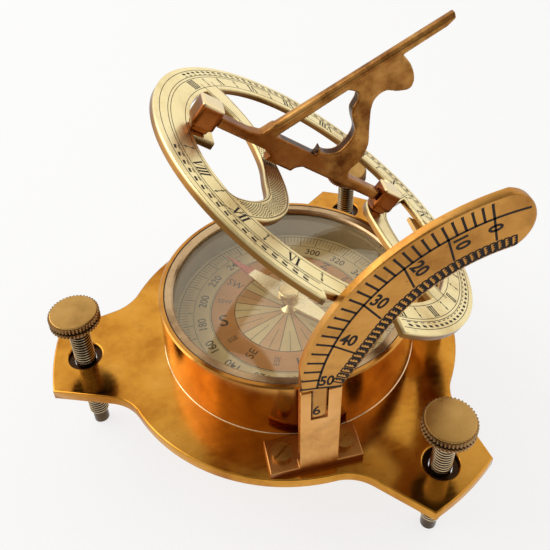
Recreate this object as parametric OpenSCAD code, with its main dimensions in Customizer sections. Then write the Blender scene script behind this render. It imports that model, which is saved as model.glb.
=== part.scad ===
// Folding equatorial sundial with a compass in its base, on three levelling screws.
// X runs north, Y to the far side, Z up. The origin lies on the compass axis, level with the screw points.

/* [Base plate] */
// Height of the plate's top face above the screw points
base_top = 29; // [24:0.5:34]
// Radius of the round part of the plate
disc_r = 49.3; // [49.2:0.1:54]
// Plate thickness
base_t = 2.9; // [2.4:0.1:4.5]
// Radius of the circle that the levelling screws stand on
screw_circle_r = 58.9; // [58:0.1:63]
// Radius at which the three lobes end
lobe_r = 67.6; // [67:0.1:73]
// Width of a lobe at its end
lobe_w = 21.4; // [17:0.1:24]
// Angle by which each side of a lobe opens towards the disc
lobe_taper = 17.5; // [8:0.5:24]
// Radius of the fillets between lobe and disc
lobe_fillet = 12; // [6:0.5:16]
// Angle by which the lobes stand off the north-south line
lobe_turn = -2.8; // [-6:0.2:6]

/* [Compass box] */
// Outer radius of the box at its foot
box_r = 36.5; // [34:0.1:36.8]
// Outer radius of the box at its rim
rim_r = 36.3; // [33.8:0.1:36.6]
// Height of the box
box_h = 18.5; // [15:0.1:19]
// Thickness of the box floor
floor_t = 2; // [1.2:0.1:3]
// Height of the card's upper face above the base plate
card_z = 6.4; // [5:0.1:7]
// Thickness of the compass card
card_t = 0.8; // [0.4:0.1:1.2]
// Radius of the compass card
card_r = 32.8; // [29:0.1:32.8]
// Depth of the glass's upper face below the rim
glass_drop = 1.5; // [1:0.1:2]
// Thickness of the glass
glass_t = 2; // [1.2:0.1:2.4]
// Thickness of the rim wall that stands round the bezel
rim_wall = 1.3; // [1:0.1:2]
// Width of the flat bezel ring
bezel_w = 2.6; // [2:0.1:4]
// Slack of card, glass and bezel in their seats
seat_gap = 0.06; // [0.02:0.01:0.15]

/* [Needle] */
// Half length of the needle
needle_l = 25.4; // [18:0.1:28]
// Width of the needle at the middle
needle_w = 5.6; // [3:0.1:7]
// Thickness of the needle
needle_t = 0.5; // [0.3:0.1:0.8]
// Height of the needle's underside above the base plate
needle_z = 11.6; // [11:0.1:12]
// Direction of the needle's north end, measured from the dial's north
needle_turn = 126; // [0:1:359]
// Radius of the pivot that carries the needle
pivot_r = 0.7; // [0.5:0.05:0.9]

/* [Levelling screws] */
// Thread diameter
screw_d = 6; // [5:0.5:7]
// Head diameter
head_d = 13.5; // [11:0.1:14]
// Head thickness
head_t = 3.8; // [3:0.1:6]
// Height of the head's top above the base plate
head_top = 18; // [14:0.5:18]
// Diameter of the plain point
point_d = 4.4; // [3:0.1:4.8]
// Length of the plain point
point_l = 4.5; // [3:0.1:6]
// Diameter of the recess round each thread
recess_d = 9.2; // [7.6:0.1:11]
// Depth of the recess
recess_t = 1.2; // [0.6:0.1:1.6]

/* [Hour ring] */
// Outer radius of the ring
ring_ro = 48.7; // [47:0.1:48.8]
// Inner radius of the ring
ring_ri = 39.35; // [37:0.05:41]
// Ring thickness
ring_t = 1.9; // [1.4:0.1:2.4]
// Tilt of the ring from the horizontal
tilt = 35.3; // [0:0.1:90]
// Width of the tab that carries the south post
tab_w = 7.2; // [6.4:0.1:10]
// How far the tab reaches in from the ring's inner edge
tab_l = 5.8; // [5:0.1:8]
// Share of full width of the two curved arms inside the ring
arm_scale = 1; // [0.8:0.05:1.1]

/* [Ring hinge] */
// Distance of the hinge axis north of the compass axis
hinge_x = 44; // [43:0.1:45]
// Height of the hinge axis above the base plate
hinge_z = 21; // [19:0.1:26]
// Distance from the hinge axis to the ring's centre, along the ring
hinge_r = 45.3; // [44.5:0.1:46]
// Radius of the knuckles
knuckle_r = 2.2; // [1.8:0.1:2.4]
// Radius of the hinge pin
hinge_pin_r = 1; // [0.7:0.05:1.2]
// Width of the bracket and its two knuckles
hinge_w = 18; // [14:0.5:20]
// Width of the leaf's knuckle
leaf_knuckle_w = 8.2; // [6:0.1:10]
// Width of the leaf
leaf_w = 17.2; // [13:0.1:19]
// Thickness of the leaf
leaf_t = 1.2; // [0.8:0.1:1.5]
// Free space between turning parts
turn_gap = 0.3; // [0.2:0.05:0.4]

/* [Latitude arc] */
// Outer radius of the arc
arc_ro = 53.4; // [51:0.1:54]
// Inner radius of the arc
arc_ri = 38.8; // [37:0.1:41]
// Arc's centre, north of the compass axis
arc_cx = 44.2; // [43.5:0.1:45]
// Arc's centre, above the base plate
arc_cz = 26.8; // [26:0.1:28]
// Angle above the horizontal at which the arc's end starts to round off
arc_end = 75; // [60:1:80]
// Plate thickness of the arc
arc_t = 2; // [1.6:0.1:2.2]
// Distance of the arc's mid-plane from the compass axis
arc_y = 45.5; // [45.2:0.1:45.8]

/* [Arc bracket] */
// Width of the upright
upright_w = 9.6; // [8:0.1:11]
// Thickness of the upright
upright_t = 2.2; // [2.1:0.1:2.6]
// Middle of the upright, north of the compass axis
upright_x = -2.95; // [-4:0.05:-2]
// Height of the upright
upright_h = 30.6; // [28:0.1:32]
// Width of the fork's gap
fork_w = 4; // [3:0.1:5]
// Middle of the gap, measured from the middle of the upright
fork_off = -0.35; // [-1:0.05:1]
// Depth of the gap
fork_d = 10.1; // [8:0.1:12]
// Height of the folding pin below the fork's tips
fork_pin_drop = 7; // [5:0.1:8]
// Radius of the folding pin
fork_pin_r = 0.6; // [0.5:0.05:0.7]
// Length of the foot plate
foot_l = 23.6; // [21:0.1:26]
// Thickness of the foot plates
foot_t = 2; // [1.5:0.1:3]
// Distance between the two foot screws
foot_pitch = 15.8; // [15:0.1:18]
// Diameter of the foot screws' heads
foot_head_d = 5.2; // [4:0.1:5.4]

/* [Gnomon] */
// Height of the folding axis above the ring's mid-plane
axle_h = 5.2; // [4.8:0.1:6]
// Thickness of the gnomon
gnomon_t = 3.2; // [2:0.1:4]
// Length of the gnomon from the folding axis to its tip
gnomon_h = 49.5; // [44:0.5:50]
// Angle between the style and the ring
style_angle = 65.1; // [64:0.1:66]
// Depth of the bar under the style
style_bar = 2.8; // [2.4:0.1:4]
// Position of the style's foot along the north-south line
style_foot = -24.2; // [-25:0.1:-23.5]
// South end of the folding bar
bar_south = -34.7; // [-36:0.1:-32]
// North end of the folding bar
bar_north = 14.2; // [12:0.1:16]
// Height of the folding bar
bar_h = 2.6; // [2.2:0.1:3.4]
// Length of a post along the bar
post_l = 5.8; // [4.5:0.1:6.5]
// Width of a post
post_w = 6; // [4.5:0.1:7]
// Height of a post above the ring's upper face
post_h = 7.8; // [6.8:0.1:10]
// Radius of the two pins on which the gnomon turns
gpin_r = 0.8; // [0.6:0.05:0.9]

/* [Clearances] */
// Radial clearance of a pin that turns
run_gap = 0.05; // [0.02:0.01:0.09]
// Radial clearance of a fixed pin or screw
fix_gap = 0.02; // [0.01:0.01:0.05]
// Space between the arc and the bottom of the ring's notch
notch_gap = 0.6; // [0.4:0.05:1]

/* [Hidden] */
$fn = 64;

// Lobe directions, the first one pointing south
lobe_angles = [for (k = [0:2]) 180 + lobe_turn + 120 * k];

// Heights in the compass box, from the base plate's top
glass_top = box_h - glass_drop;
glass_bottom = glass_top - glass_t;
seat_r = rim_r - rim_wall;
well_r = card_r + seat_gap;
under_card = card_z - card_t;

// Ring frame: X along the ring to the north, Y to the far side, Z square to the ring
ring_lift = ring_t / 2 + turn_gap + knuckle_r;
notch_y = arc_y - arc_t / 2 - notch_gap;
notch_s = -14.7;
notch_n = 5.6;

// Fork and tongue of the arc
fork_x = upright_x + fork_off;
pin_z = upright_h - fork_pin_drop;
shoulder_z = upright_h + turn_gap;
tongue_w = fork_w - 2 * 0.15;
foot_y0 = arc_y + upright_t / 2;
foot_y1 = 37.2;
foot_screw_y = 42;
foot_x = -3.3;
foot_shank_r = 1.25;

// Hinge bracket foot
hinge_foot_s = 37.3;
hinge_foot_n = 48;
hinge_screw_x = 39.5;
hinge_screw_y = 6.2;
hinge_head_d = 3.8;

// Posts
post_s_x = bar_south - turn_gap - post_l / 2;
post_n_x = bar_north + turn_gap + post_l / 2;
post_neck = 1.6;
post_shank_r = 1.4;
rivet_r = 2;

// Point on a smooth curve through a list of control points, one step past point i
function blend_at(p, i, t) =
    let (a = p[max(i - 1, 0)], b = p[i], c = p[i + 1], d = p[min(i + 2, len(p) - 1)])
    0.5 * ((2 * b) + (c - a) * t + (2 * a - 5 * b + 4 * c - d) * t * t
           + (3 * b - a - 3 * c + d) * t * t * t);

// Whole curve, n steps per span
function curve(p, n) =
    concat([for (i = [0:len(p) - 2]) for (k = [0:n - 1]) blend_at(p, i, k / n)], [p[len(p) - 1]]);

// Unit normal of a run of points at index i
function normal_at(q, i) =
    let (a = q[max(i - 1, 0)], b = q[min(i + 1, len(q) - 1)], d = [b[0] - a[0], b[1] - a[1]])
    [-d[1], d[0]] / norm(d);

// The same points in the opposite order
function turned(p) = [for (i = [len(p) - 1:-1:0]) p[i]];

// Flat band whose width changes along it: each control point is [x, y, half width]
module band(p, n = 6) {
    q = curve(p, n);
    right = [for (i = [0:len(q) - 1]) [q[i][0], q[i][1]] - q[i][2] * normal_at(q, i)];
    left = [for (i = [0:len(q) - 1]) [q[i][0], q[i][1]] + q[i][2] * normal_at(q, i)];
    polygon(concat(right, turned(left)));
}

// Centre of the fillet between a lobe's side and the disc, in the lobe's own frame
function fillet_centre() =
    let (n = [sin(lobe_taper), cos(lobe_taper)], d = [-cos(lobe_taper), sin(lobe_taper)],
         e = [lobe_r, lobe_w / 2] + lobe_fillet * n, r = disc_r + lobe_fillet,
         b = e[0] * d[0] + e[1] * d[1], c = e[0] * e[0] + e[1] * e[1] - r * r)
    e + (-b - sqrt(b * b - c)) * d;

// The fillet's arc, from the disc to the lobe's side, in short chords
function fillet_arc(n) =
    let (f = fillet_centre(), a = atan2(-f[1], -f[0]), b = -90 - lobe_taper)
    concat([0.99 * f * disc_r / (disc_r + lobe_fillet)],
           [for (k = [1:n]) f + lobe_fillet * [cos(a + (b - a) * k / n), sin(a + (b - a) * k / n)]]);

module lobe_outline() {
    upper = concat(fillet_arc(12), [[lobe_r + 1, lobe_w / 2 - tan(lobe_taper)]]);
    lower = [for (p = upper) [p[0], -p[1]]];
    intersection() {
        polygon(concat([[0, 0]], lower, turned(upper)));
        circle(r = lobe_r);
    }
}

module at_lobes() {
    for (a = lobe_angles) rotate(a) translate([screw_circle_r, 0, 0]) children();
}

module base_plate() {
    color("peru") difference() {
        translate([0, 0, base_top - base_t]) linear_extrude(base_t) union() {
            circle(r = disc_r);
            for (a = lobe_angles) rotate(a) lobe_outline();
        }
        at_lobes() translate([0, 0, base_top - base_t - 1]) cylinder(r = screw_d / 2 + run_gap, h = base_t + 2);
        at_lobes() translate([0, 0, base_top - recess_t]) cylinder(d = recess_d, h = recess_t + 1);
        for (s = [-1, 1]) translate([foot_x + s * foot_pitch / 2, -foot_screw_y, base_top - base_t - 1])
            cylinder(r = foot_shank_r + fix_gap, h = base_t + 2);
        for (s = [-1, 1]) translate([hinge_screw_x, s * hinge_screw_y, base_top - base_t - 1])
            cylinder(r = 1 + fix_gap, h = base_t + 2);
    }
}

module compass_box() {
    color("peru") translate([0, 0, base_top]) rotate_extrude() difference() {
        polygon([[0, 0], [box_r, 0], [rim_r, box_h - 0.4], [rim_r - 0.4, box_h],
                 [seat_r, box_h], [seat_r, glass_bottom], [well_r, glass_bottom],
                 [well_r, under_card], [well_r - 1.4, under_card], [well_r - 1.4, floor_t],
                 [4, floor_t], [4, under_card], [0, under_card]]);
        translate([-1, under_card - 3]) square([2.2 + fix_gap, 4]);
    }
}

module glass() {
    color("lightcyan") translate([0, 0, base_top + glass_bottom]) cylinder(r = seat_r - seat_gap, h = glass_t);
}

module bezel() {
    color("goldenrod") translate([0, 0, base_top + glass_top]) rotate_extrude() polygon([
        [seat_r - bezel_w, 0], [seat_r - seat_gap, 0], [seat_r - seat_gap, glass_drop - 0.45],
        [seat_r - 0.35, glass_drop - 0.15], [seat_r - bezel_w + 0.5, glass_drop - 0.15],
        [seat_r - bezel_w, glass_drop - 0.65]]);
}

module compass_card() {
    color("ivory") translate([0, 0, base_top + under_card]) difference() {
        cylinder(r = card_r, h = card_t);
        translate([0, 0, -1]) cylinder(r = 1.2 + fix_gap, h = card_t + 2);
    }
}

module needle_pivot() {
    color("gold") translate([0, 0, base_top]) rotate_extrude() polygon([
        [0, under_card - 3], [1.2, under_card - 3], [1.2, card_z], [2.3, card_z], [2.3, card_z + 0.6],
        [1.3, card_z + 1.4], [pivot_r, card_z + 2], [pivot_r, needle_z + 0.6], [0, needle_z + 0.95]]);
}

module needle() {
    color("gold") translate([0, 0, base_top + needle_z]) rotate(needle_turn) difference() {
        linear_extrude(needle_t) polygon([
            [needle_l, 0], [3.4, needle_w / 2], [-3.4, needle_w / 2],
            [-needle_l, 0], [-3.4, -needle_w / 2], [3.4, -needle_w / 2]]);
        translate([0, 0, -1]) cylinder(r = 1.5 + fix_gap, h = 3);
    }
}

module needle_cap() {
    z = needle_z;
    color("gold") translate([0, 0, base_top]) rotate_extrude() polygon([
        [pivot_r + run_gap, z - 0.8], [1.5, z - 0.8], [1.5, z + needle_t], [2.5, z + needle_t],
        [2.5, z + 1.1], [1.8, z + 1.3], [1.7, z + 2.2], [1.1, z + 2.7], [0, z + 2.8],
        [0, z + 1.15], [pivot_r + run_gap, z + 0.8]]);
}

// Knurled screw: a grooved head, a threaded shank and a plain round-ended point
module levelling_screw(k) {
    g = 0.35;
    r = head_d / 2;
    color("darkgoldenrod") rotate(lobe_angles[k]) translate([screw_circle_r, 0, 0]) rotate_extrude() polygon([
        [0, 0], [point_d / 2 - 0.9, 0], [point_d / 2 - 0.25, 0.25], [point_d / 2, 0.4], [point_d / 2, point_l],
        [screw_d / 2 - 0.6, point_l], [screw_d / 2, point_l + 0.6],
        [screw_d / 2, base_top + head_top - head_t], [r - g, base_top + head_top - head_t],
        [r, base_top + head_top - head_t + g], [r, base_top + head_top - head_t / 2 - g],
        [r - g, base_top + head_top - head_t / 2], [r, base_top + head_top - head_t / 2 + g],
        [r, base_top + head_top - g], [r - 0.9, base_top + head_top], [0, base_top + head_top]]);
}

module levelling_screw_1() { levelling_screw(0); }
module levelling_screw_2() { levelling_screw(1); }
module levelling_screw_3() { levelling_screw(2); }

// Places a child that is drawn in the ring frame, with the ring's centre as its origin
module on_ring() {
    translate([hinge_x, 0, base_top + hinge_z]) rotate([0, tilt, 0]) translate([-hinge_r, 0, ring_lift])
        children();
}

// Scroll-shaped arm that crosses the south half of the ring
module south_arm() {
    s = arm_scale;
    band([[-33, 29.5, 3.6 * s], [-27, 24, 3.3 * s], [-20.3, 14, 2.3 * s], [-17.6, 0, 2.4 * s],
          [-17.8, -10.5, 3.1 * s], [-19.5, -18.2, 2.8 * s], [-24.8, -23.6, 2.9 * s],
          [-31.5, -25.6, 3.2 * s], [-37, -23.5, 3.8 * s]]);
}

// Bowed arm that carries the north post
module north_arm() {
    s = arm_scale;
    band([[38.5, 22.5, 3.8 * s], [32.5, 16, 3.2 * s], [24, 7.5, 3.1 * s], [18.5, 0, 3.4 * s],
          [18, -8, 3 * s], [20, -17.5, 2.9 * s], [24, -27, 3.1 * s], [29, -34.5, 3.8 * s]]);
}

module ring_outline() {
    difference() {
        union() {
            difference() {
                circle(r = ring_ro);
                circle(r = ring_ri);
            }
            intersection() {
                circle(r = (ring_ro + ring_ri) / 2);
                union() {
                    south_arm();
                    north_arm();
                    translate([-ring_ri - 2, -tab_w / 2]) square([tab_l + 2, tab_w]);
                }
            }
        }
        translate([notch_s, -ring_ro - 5]) square([notch_n - notch_s, ring_ro + 5 - notch_y]);
    }
}

module hour_ring() {
    color("khaki") on_ring() difference() {
        translate([0, 0, -ring_t / 2]) linear_extrude(ring_t) ring_outline();
        for (x = [post_s_x, post_n_x]) translate([x, 0, -2]) cylinder(r = post_shank_r + fix_gap, h = 4);
        for (s = [-1, 1]) translate([40.2, s * 5.6, -2]) cylinder(r = 0.9 + fix_gap, h = 4);
    }
}

// Square post with a narrow neck, riveted through the ring
module post(x, side) {
    color("darkgoldenrod") on_ring() translate([x, 0, 0]) difference() {
        union() {
            translate([-post_l / 2, -post_w / 2, ring_t / 2 + post_neck]) cube([post_l, post_w, post_h - post_neck]);
            translate([-post_l / 2 + 0.7, -post_w / 2 + 0.7, ring_t / 2])
                cube([post_l - 1.4, post_w - 1.4, post_neck]);
            translate([0, 0, -ring_t / 2 - 0.1]) cylinder(r = post_shank_r, h = ring_t + 0.2);
            translate([0, 0, -ring_t / 2 - 1.1]) cylinder(r = rivet_r, h = 1.1);
        }
        translate([side * (post_l / 2 - 2.5), 0, axle_h]) rotate([0, side * 90, 0])
            cylinder(r = gpin_r + fix_gap, h = 5);
    }
}

module gnomon_post_south() { post(post_s_x, 1); }
module gnomon_post_north() { post(post_n_x, -1); }

// The two pins on which the gnomon folds
module gnomon_pivots() {
    color("goldenrod") on_ring() for (p = [[post_s_x + post_l / 2 - 2.4, 1], [post_n_x - post_l / 2 + 2.4, -1]])
        translate([p[0], 0, axle_h]) rotate([0, p[1] * 90, 0]) cylinder(r = gpin_r, h = 2.4 + turn_gap + 2);
}

// Side view of the gnomon: X along the ring, Y square to it, measured from the folding axis
module style_outline() {
    d = [cos(style_angle), sin(style_angle)];
    n = [sin(style_angle), -cos(style_angle)];
    foot = [style_foot, bar_h / 2 + 0.4];
    tip = foot + d * (gnomon_h - foot[1]) / d[1];
    polygon([[foot[0] - 1.2, 0], [foot[0] + 3, 0], foot + n * (style_bar + 0.8), foot + n * style_bar + d * 3,
             tip + n * 1.9 - d * 3, tip + n * 1.2 - d * 0.6, tip, foot]);
}

// Scroll that holds the style up, with the lobe at its head
module scroll_outline() {
    outer = [[-9.5, 36.5], [-6.4, 35.1], [-3, 34.2], [0, 32], [1, 29.4], [-1, 27.3], [-4, 25.8], [-5, 23],
             [-4, 20], [-1, 15.6], [1.8, 11.6], [2.8, 7], [2.2, 3.2], [4.2, 0.8], [7, 0]];
    inner = [[-8.6, 0], [-8.6, 3.2], [-8.8, 5.2], [-7.8, 4.5], [-5.8, 4.8], [-3.8, 6.6], [-3.3, 10.6],
             [-4.2, 13.6], [-6.5, 15.6], [-8.2, 17.6], [-8.8, 20.6], [-10.2, 22], [-13.5, 21]];
    polygon(turned(concat(curve(outer, 5), curve(inner, 5))));
}

// Folding bar, deeper between the style and the scroll, with its foot over the ring's arm
module bar_outline() {
    h = bar_h / 2;
    polygon([[bar_south, -h], [bar_north, -h], [bar_north, h], [-3, h], [-8, h + 1.7], [-20, h + 1.7],
             [style_foot, h + 0.6], [-27, h], [bar_south, h]]);
    polygon(concat([[-21, 0]], curve([[-22.2, -h + 0.5], [-20.2, -h - 0.4], [-18.9, -h - 1], [-19.3, -h - 2.1],
                                      [-18.9, -7], [-12, -7], [-11.4, -h - 1.6], [-8.9, -h + 0.5]], 5), [[-8.6, 0]]));
}

module gnomon_outline() {
    style_outline();
    scroll_outline();
    bar_outline();
}

module gnomon() {
    foot_r = axle_h - ring_t / 2 - turn_gap;
    color("sienna") on_ring() translate([0, 0, axle_h]) difference() {
        intersection() {
            translate([0, gnomon_t / 2, 0]) rotate([90, 0, 0]) linear_extrude(gnomon_t) gnomon_outline();
            union() {
                rotate([0, 90, 0]) translate([0, 0, -40]) cylinder(r = foot_r, h = 80);
                translate([-60, -20, 0]) cube([120, 40, 80]);
            }
        }
        translate([bar_south - 1, 0, 0]) rotate([0, 90, 0]) cylinder(r = gpin_r + run_gap, h = 3.3);
        translate([bar_north + 1, 0, 0]) rotate([0, -90, 0]) cylinder(r = gpin_r + run_gap, h = 3.3);
    }
}

// Bracket of the ring hinge: a foot, an upright and two round knuckles
module hinge_bracket() {
    color("peru") translate([0, 0, base_top]) difference() {
        translate([0, hinge_w / 2, 0]) rotate([90, 0, 0]) linear_extrude(hinge_w) union() {
            translate([hinge_foot_s, 0]) square([hinge_foot_n - hinge_foot_s, foot_t]);
            polygon([[hinge_x - knuckle_r, 0], [hinge_x + knuckle_r, 0], [hinge_x + knuckle_r, hinge_z],
                     [hinge_x - knuckle_r, hinge_z]]);
            translate([hinge_x, hinge_z]) circle(r = knuckle_r);
        }
        translate([hinge_x - 10, -leaf_knuckle_w / 2 - 0.2, hinge_z - knuckle_r - 0.5])
            cube([20, leaf_knuckle_w + 0.4, 20]);
        translate([hinge_x, -hinge_w, hinge_z]) rotate([-90, 0, 0])
            cylinder(r = hinge_pin_r + fix_gap, h = 2 * hinge_w);
        for (s = [-1, 1]) translate([hinge_screw_x, s * hinge_screw_y, -1])
            cylinder(r = 1.1, h = foot_t + 2);
    }
}

// Cheese-head screw, upright, with its head's underside at z = 0
module slotted_screw(d, head, r, l) {
    difference() {
        union() {
            cylinder(d = d, h = head);
            translate([0, 0, -l]) cylinder(r = r, h = l + 0.1);
        }
        rotate(35) translate([-d, -0.35, head - 0.6]) cube([2 * d, 0.7, 2]);
    }
}

module hinge_bracket_screws() {
    color("goldenrod") for (s = [-1, 1])
        translate([hinge_screw_x, s * hinge_screw_y, base_top + foot_t])
            slotted_screw(hinge_head_d, 1.3, 1, foot_t + base_t - 0.3);
}

module hinge_pin() {
    color("goldenrod") translate([hinge_x, -hinge_w / 2 - 0.4, base_top + hinge_z]) rotate([-90, 0, 0])
        cylinder(r = hinge_pin_r, h = hinge_w + 0.8);
}

// Leaf under the ring, with one knuckle between the bracket's two
module hinge_leaf() {
    top = -ring_t / 2;
    color("goldenrod") on_ring() difference() {
        union() {
            translate([36.6, -leaf_w / 2, top - leaf_t]) cube([hinge_r - knuckle_r - turn_gap - 36.6, leaf_w, leaf_t]);
            translate([hinge_r - knuckle_r - 1, -leaf_knuckle_w / 2, top - leaf_t])
                cube([knuckle_r + 1, leaf_knuckle_w, leaf_t]);
            translate([hinge_r, -leaf_knuckle_w / 2, -ring_lift]) rotate([-90, 0, 0])
                cylinder(r = knuckle_r, h = leaf_knuckle_w);
        }
        translate([hinge_r, -leaf_w, -ring_lift]) rotate([-90, 0, 0])
            cylinder(r = hinge_pin_r + run_gap, h = 2 * leaf_w);
        for (s = [-1, 1]) translate([40.2, s * 5.6, top - leaf_t - 1]) cylinder(r = 0.9 + fix_gap, h = leaf_t + 2);
    }
}

module hinge_leaf_rivets() {
    color("goldenrod") on_ring() for (s = [-1, 1]) translate([40.2, s * 5.6, -ring_t / 2 - leaf_t]) {
        cylinder(r = 0.9, h = ring_t + leaf_t);
        translate([0, 0, -0.7]) cylinder(r1 = 1.1, r2 = 1.7, h = 0.7);
    }
}

// Angle bracket of the arc: foot plate, upright and fork
module arc_bracket() {
    color("peru") translate([0, 0, base_top]) difference() {
        union() {
            translate([foot_x - foot_l / 2, -foot_y0, 0]) cube([foot_l, foot_y0 - foot_y1, foot_t]);
            translate([upright_x - upright_w / 2, -foot_y0, 0]) cube([upright_w, upright_t, upright_h]);
        }
        translate([fork_x - fork_w / 2, -foot_y0 - 1, upright_h - fork_d]) cube([fork_w, upright_t + 2, fork_d + 1]);
        translate([upright_x - upright_w, -arc_y, pin_z]) rotate([0, 90, 0])
            cylinder(r = fork_pin_r + fix_gap, h = 2 * upright_w);
        for (s = [-1, 1]) translate([foot_x + s * foot_pitch / 2, -foot_screw_y, -1])
            cylinder(r = foot_shank_r + 0.1, h = foot_t + 2);
    }
}

module arc_bracket_screws() {
    color("goldenrod") for (s = [-1, 1])
        translate([foot_x + s * foot_pitch / 2, -foot_screw_y, base_top + foot_t])
            slotted_screw(foot_head_d, 1.4, foot_shank_r, foot_t + base_t - 0.3);
}

module arc_pivot_pin() {
    color("goldenrod") translate([upright_x - upright_w / 2, -arc_y, base_top + pin_z]) rotate([0, 90, 0])
        cylinder(r = fork_pin_r, h = upright_w);
}

// Side view of the arc, measured from the compass axis and the base plate's top
module arc_outline() {
    mid = (arc_ro + arc_ri) / 2;
    half = (arc_ro - arc_ri) / 2;
    right = upright_x + upright_w / 2;
    left = upright_x - upright_w / 2;
    c = [arc_cx, arc_cz];
    p = [right, shoulder_z];
    away = p - c;
    swing = atan2(away[1], -away[0]) + acos(arc_ri / norm(away));
    t = c + arc_ri * [-cos(swing), sin(swing)];
    difference() {
        intersection() {
            difference() {
                translate(c) circle(r = arc_ro);
                translate(c) circle(r = arc_ri);
            }
            union() {
                translate(c) polygon([[0, 0], [-200, 0], [-200, 200], 200 * [-cos(arc_end), sin(arc_end)]]);
                translate(c + mid * [-cos(arc_end), sin(arc_end)]) circle(r = half + 0.5);
            }
            translate([left, shoulder_z]) square([200, 200]);
        }
        polygon([p - [0, 1], p, t, c, [c[0], p[1] - 1]]);
    }
}

module latitude_arc() {
    tongue_l = pin_z - (upright_h - fork_d) - turn_gap;
    z0 = pin_z - sqrt((tongue_l - 0.05) * (tongue_l - 0.05) - arc_t * arc_t / 4);
    color("darkgoldenrod") translate([0, 0, base_top]) difference() {
        translate([0, -arc_y + arc_t / 2, 0]) rotate([90, 0, 0]) linear_extrude(arc_t) union() {
            arc_outline();
            hull() {
                translate([fork_x - tongue_w / 2, shoulder_z]) square([tongue_w, 1]);
                translate([fork_x - tongue_w / 2, z0]) square([1, 1]);
                translate([fork_x + tongue_w / 2 - 1.5, z0 + 1.5]) circle(r = 1.5, $fn = 32);
            }
        }
        translate([fork_x - tongue_w, -arc_y, pin_z]) rotate([0, 90, 0])
            cylinder(r = fork_pin_r + run_gap, h = 2 * tongue_w);
    }
}

base_plate();
compass_box();
glass();
bezel();
compass_card();
needle_pivot();
needle();
needle_cap();
levelling_screw_1();
levelling_screw_2();
levelling_screw_3();
hour_ring();
hinge_bracket();
hinge_bracket_screws();
hinge_leaf();
hinge_leaf_rivets();
hinge_pin();
arc_bracket();
arc_bracket_screws();
arc_pivot_pin();
latitude_arc();
gnomon();
gnomon_pivots();
gnomon_post_south();
gnomon_post_north();
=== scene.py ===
import math
import bpy
import bmesh
from mathutils import Matrix, Vector


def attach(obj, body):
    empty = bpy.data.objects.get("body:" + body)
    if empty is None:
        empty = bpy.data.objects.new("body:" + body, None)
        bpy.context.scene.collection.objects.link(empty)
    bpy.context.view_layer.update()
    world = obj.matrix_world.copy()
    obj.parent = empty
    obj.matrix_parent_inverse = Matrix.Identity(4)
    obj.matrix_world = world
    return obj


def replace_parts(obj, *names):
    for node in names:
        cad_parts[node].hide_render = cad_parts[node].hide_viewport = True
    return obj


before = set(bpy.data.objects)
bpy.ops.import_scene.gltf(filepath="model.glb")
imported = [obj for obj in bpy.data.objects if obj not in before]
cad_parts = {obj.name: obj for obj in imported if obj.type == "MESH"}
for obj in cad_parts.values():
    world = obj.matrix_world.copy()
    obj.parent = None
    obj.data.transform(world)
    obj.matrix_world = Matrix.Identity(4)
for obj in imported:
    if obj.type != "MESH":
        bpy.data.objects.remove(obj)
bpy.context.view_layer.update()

# All sizes below are in millimetres and degrees; TO_METRES brings a finished mesh to the frame's metres.
MM = 0.001
TO_METRES = Matrix.Scale(MM, 4)

# Heights, planes and places, as in the part's source
BASE_TOP = 29.0
UP = Vector((0, 0, 1))
UPRIGHT = Matrix.Identity(4)
RING_PLANE = (Matrix.Translation((44, 0, 50)) @ Matrix.Rotation(math.radians(35.3), 4, "Y")
              @ Matrix.Translation((-45.3, 0, 3.45)))
RING_UP = (RING_PLANE.to_3x3() @ UP).normalized()
RING_LEVEL = RING_PLANE.translation.dot(RING_UP)
RING_FACE = 0.95
ARC_PLANE = Matrix(((1, 0, 0, 44.2), (0, 0, -1, -46.5), (0, 1, 0, BASE_TOP + 26.8), (0, 0, 0, 1)))
CARD_PLANE = Matrix.Translation((0, 0, BASE_TOP + 6.4))
NEEDLE_TURN = 126
NEEDLE_LEVEL = BASE_TOP + 11.6
SCREW_CIRCLE = 58.9
SCREW_ANGLES = (177.2, 297.2, 57.2)

# The gnomon's style on the ring's plane: its foot, its length, and the ways it runs and faces
STYLE_LEAN = math.radians(65.1)
STYLE_FOOT = Vector((-24.2, 0, 5.2 + 1.68))
STYLE_LENGTH = 45.0
STYLE_AHEAD = Vector((math.cos(STYLE_LEAN), 0, math.sin(STYLE_LEAN)))
STYLE_OUT = Vector((-math.sin(STYLE_LEAN), 0, math.cos(STYLE_LEAN)))

# Dial of the hour ring: where noon stands and how far an hour runs, from north towards the arc's side
NOON = 4.9
HOUR = 18.97


def polar(r, angle):
    a = math.radians(angle)
    return (r * math.cos(a), r * math.sin(a))


def on_dial(r, angle):
    """Point of the hour ring's face at a dial angle, which grows towards the arc's side."""
    return polar(r, -angle)


# ---- finishes

def feed(tree, node, inputs):
    """Links or sets a node's inputs, as each value asks; a colour is given as three numbers."""
    for key, value in inputs.items():
        socket = node.inputs[key]
        if isinstance(value, bpy.types.NodeSocket):
            tree.links.new(value, socket)
        else:
            socket.default_value = (*value, 1) if socket.type == "RGBA" else value


def node_of(tree, kind, inputs=None, **settings):
    n = tree.nodes.new(kind)
    for key, value in settings.items():
        setattr(n, key, value)
    feed(tree, n, inputs or {})
    return n


def place_of(tree, space="Object"):
    return node_of(tree, "ShaderNodeTexCoord").outputs[space]


def reach(tree, axis, space="Object"):
    """How far a point lies along an axis."""
    return node_of(tree, "ShaderNodeVectorMath", {0: place_of(tree, space), 1: axis},
                   operation="DOT_PRODUCT").outputs["Value"]


def off_axis(tree, x=0.0, y=0.0):
    """How far a point lies from the upright axis through x, y."""
    flat = node_of(tree, "ShaderNodeVectorMath", {0: place_of(tree), 1: (1, 1, 0), 2: (-x * MM, -y * MM, 0)},
                   operation="MULTIPLY_ADD")
    return node_of(tree, "ShaderNodeVectorMath", {0: flat.outputs[0]}, operation="LENGTH").outputs["Value"]


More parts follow.
